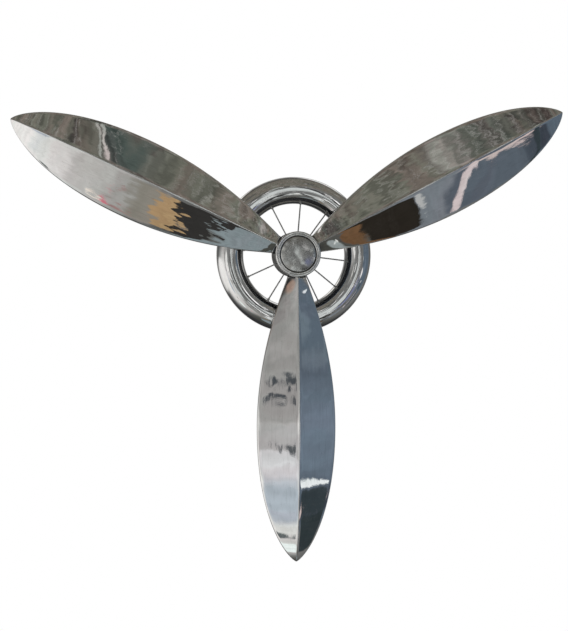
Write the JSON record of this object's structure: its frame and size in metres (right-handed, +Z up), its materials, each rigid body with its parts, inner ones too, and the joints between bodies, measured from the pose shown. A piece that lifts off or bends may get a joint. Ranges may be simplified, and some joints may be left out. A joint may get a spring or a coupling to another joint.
{
  "type": "decorative propeller",
  "caption": "Wall-hung propeller of leaf-shaped folded metal blades that turn on a capped hub in front of a wire-spoked round tube ring.",
  "frame": {"origin": "on the propeller axis, at the rear face of the wall plate, which lies against the wall", "axes": "+Z up, +X to the right as seen from the front, +Y into the wall; the front faces -Y and the propeller axis is the Y axis"},
  "size_m": [1.2057, 0.1229, 0.985],
  "materials": {
    "blade_front_metal": "hand-polished sheet, mirror bright with a slight beaten waviness",
    "blade_back_metal": "brushed sheet",
    "ring_metal": "polished spun tube halves",
    "bezel_metal": "polished turned rim",
    "dome_metal": "satin, dull grey",
    "drum_metal": "dark satin",
    "cast_metal": "as turned",
    "bar_metal": "mill finish",
    "spoke_steel": "drawn wire",
    "nipple_metal": "dull plated",
    "zinc_steel": "zinc plated",
    "dark_steel": "black oxide",
    "bush_bronze": "sintered bronze",
    "nylon": "natural nylon",
    "pad_rubber": "matt black"
  },
  "bodies": {
    "ring_and_mount": {"hanger_plate": "zinc_steel", "hanger_screws": "dark_steel", "rear_cover": "cast_metal", "cover_screws": "dark_steel", "fixed_drum": "drum_metal", "axle_bolt": "zinc_steel", "axle_washer": "zinc_steel", "axle_jam_nut": "zinc_steel", "friction_washer": "nylon", "thrust_washer": "zinc_steel", "axle_lock_nut": "zinc_steel", "spokes": "spoke_steel", "spoke_nipples": "nipple_metal", "ring_front_shell": "ring_metal", "ring_rear_shell": "ring_metal", "wall_pads": "pad_rubber"},
    "propeller": {"turning_hub": "drum_metal", "rear_bush": "bush_bronze", "front_bush": "bush_bronze", "right_front_skin": "blade_front_metal", "left_front_skin": "blade_front_metal", "lower_front_skin": "blade_front_metal", "right_back_skin": "blade_back_metal", "left_back_skin": "blade_back_metal", "lower_back_skin": "blade_back_metal", "right_spar": "bar_metal", "left_spar": "bar_metal", "lower_spar": "bar_metal", "spar_screws": "dark_steel", "spar_rivets": "cast_metal", "cap_bezel": "bezel_metal", "cap_dome": "dome_metal", "dome_clip": "zinc_steel", "bezel_grub_screws": "dark_steel"}
  },
  "joints": [
    {"name": "propeller_spin", "type": "hinge", "parent": "ring_and_mount", "child": "propeller", "pos_m": [0, -0.08, 0], "axis": [0, -1, 0], "continuous": true}
  ]
}
